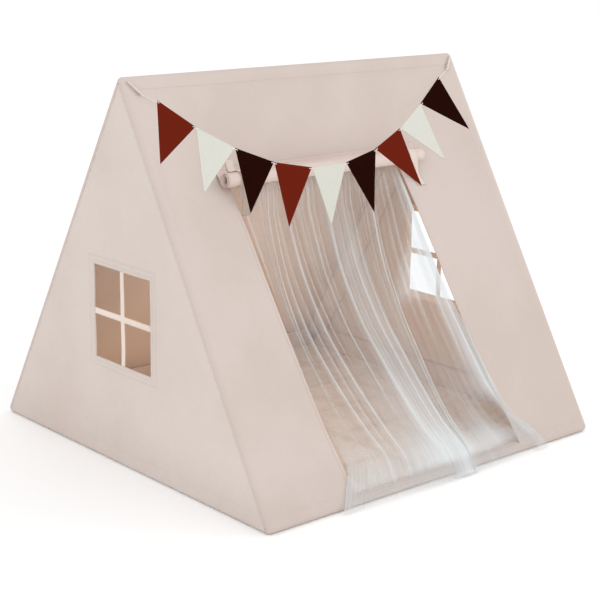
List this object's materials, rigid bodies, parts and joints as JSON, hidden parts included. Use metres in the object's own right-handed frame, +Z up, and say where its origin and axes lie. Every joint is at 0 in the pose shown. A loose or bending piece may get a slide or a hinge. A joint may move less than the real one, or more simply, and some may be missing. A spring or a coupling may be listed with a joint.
{
  "type": "play tent",
  "caption": "Child's play tent: steep two-slope fabric cover on a plug-in pole frame, open doorway with tulle curtain and rolled flap, lattice windows, felt bunting, padded mat.",
  "frame": {"origin": "centre of the footprint, on the floor under the mat", "axes": "+X along the ridge to the right gable seen from the door, -Y out of the doorway, +Z up"},
  "size_m": [1.2, 1.2334, 1.0361],
  "materials": {
    "canvas": "plain woven canvas, beige pink",
    "canvas_side": "plain woven canvas, the gables",
    "lattice_cloth": "canvas patch, stitched",
    "tape": "cream cotton tape",
    "tulle": "fine white tulle net",
    "mat_cloth": "quilted cotton, light padding",
    "cord": "thin white cord",
    "felt_rust": "felt, rust brown",
    "felt_cream": "felt, cream",
    "felt_brown": "felt, dark brown",
    "frame_plastic": "white extruded tube and moulded fittings"
  },
  "bodies": {
    "tent": {"pole_ridge_a": "frame_plastic", "pole_ridge_b": "frame_plastic", "pole_base_front_a": "frame_plastic", "pole_base_front_b": "frame_plastic", "pole_base_rear_a": "frame_plastic", "pole_base_rear_b": "frame_plastic", "pole_base_left_a": "frame_plastic", "pole_base_left_b": "frame_plastic", "pole_base_right_a": "frame_plastic", "pole_base_right_b": "frame_plastic", "pole_leg_front_left_a": "frame_plastic", "pole_leg_front_left_b": "frame_plastic", "pole_leg_front_right_a": "frame_plastic", "pole_leg_front_right_b": "frame_plastic", "pole_leg_rear_left_a": "frame_plastic", "pole_leg_rear_left_b": "frame_plastic", "pole_leg_rear_right_a": "frame_plastic", "pole_leg_rear_right_b": "frame_plastic", "fitting_base_front_left": "frame_plastic", "fitting_base_front_right": "frame_plastic", "fitting_base_rear_left": "frame_plastic", "fitting_base_rear_right": "frame_plastic", "fitting_ridge_left": "frame_plastic", "fitting_ridge_right": "frame_plastic", "cover_front": "canvas", "cover_rear": "canvas", "door_roll": "canvas", "cover_gable_left": "canvas_side", "cover_gable_right": "canvas_side", "window_lattice_left": "lattice_cloth", "window_lattice_right": "lattice_cloth", "roll_strap_left": "tape", "roll_strap_right": "tape", "roll_tail_left": "tape", "roll_tail_right": "tape", "tape_loop_left": "tape", "tape_loop_right": "tape", "floor_mat": "mat_cloth"},
    "bunting": {"bunting_cord": "cord"},
    "flag_1": {"flag_1": "felt_rust"},
    "flag_2": {"flag_2": "felt_cream"},
    "flag_3": {"flag_3": "felt_brown"},
    "flag_4": {"flag_4": "felt_rust"},
    "flag_5": {"flag_5": "felt_cream"},
    "flag_6": {"flag_6": "felt_brown"},
    "flag_7": {"flag_7": "felt_rust"},
    "flag_8": {"flag_8": "felt_cream"},
    "flag_9": {"flag_9": "felt_brown"},
    "curtain": {"curtain": "tulle"}
  },
  "joints": [
    {"name": "bunting_swing", "type": "hinge", "parent": "tent", "child": "bunting", "pos_m": [0, -0.03669, 0.99341], "axis": [-1, 0, 0], "range_deg": [0, 40]},
    {"name": "flag_1_swing", "type": "hinge", "parent": "bunting", "child": "flag_1", "pos_m": [-0.46631, -0.05958, 0.93781], "axis": [-0.7825, 0.2445, 0.5726], "range_deg": [0, 60]},
    {"name": "flag_2_swing", "type": "hinge", "parent": "bunting", "child": "flag_2", "pos_m": [-0.36257, -0.08861, 0.87098], "axis": [-0.8512, 0.2126, 0.4798], "range_deg": [0, 60]},
    {"name": "flag_3_swing", "type": "hinge", "parent": "bunting", "child": "flag_3", "pos_m": [-0.25028, -0.11268, 0.81751], "axis": [-0.9171, 0.1664, 0.3623], "range_deg": [0, 60]},
    {"name": "flag_4_swing", "type": "hinge", "parent": "bunting", "child": "flag_4", "pos_m": [-0.12999, -0.12894, 0.78229], "axis": [-0.9772, 0.0897, 0.1923], "range_deg": [0, 60]},
    {"name": "flag_5_swing", "type": "hinge", "parent": "bunting", "child": "flag_5", "pos_m": [-0.00444, -0.13435, 0.77057], "axis": [-1, -0.0044, -0.0075], "range_deg": [0, 60]},
    {"name": "flag_6_swing", "type": "hinge", "parent": "bunting", "child": "flag_6", "pos_m": [0.12106, -0.12827, 0.78344], "axis": [-0.9765, -0.0914, -0.1952], "range_deg": [0, 60]},
    {"name": "flag_7_swing", "type": "hinge", "parent": "bunting", "child": "flag_7", "pos_m": [0.24131, -0.1119, 0.81884], "axis": [-0.9171, -0.1664, -0.3623], "range_deg": [0, 60]},
    {"name": "flag_8_swing", "type": "hinge", "parent": "bunting", "child": "flag_8", "pos_m": [0.35383, -0.08803, 0.87199], "axis": [-0.8549, -0.2096, -0.4746], "range_deg": [0, 60]},
    {"name": "flag_9_swing", "type": "hinge", "parent": "bunting", "child": "flag_9", "pos_m": [0.45965, -0.06043, 0.93635], "axis": [-0.8117, -0.225, -0.5389], "range_deg": [0, 60]},
    {"name": "curtain_draw", "type": "slide", "parent": "tent", "child": "curtain", "axis": [-1, 0, 0], "range_m": [0, 0.39], "deforming": ["curtain"]}
  ]
}
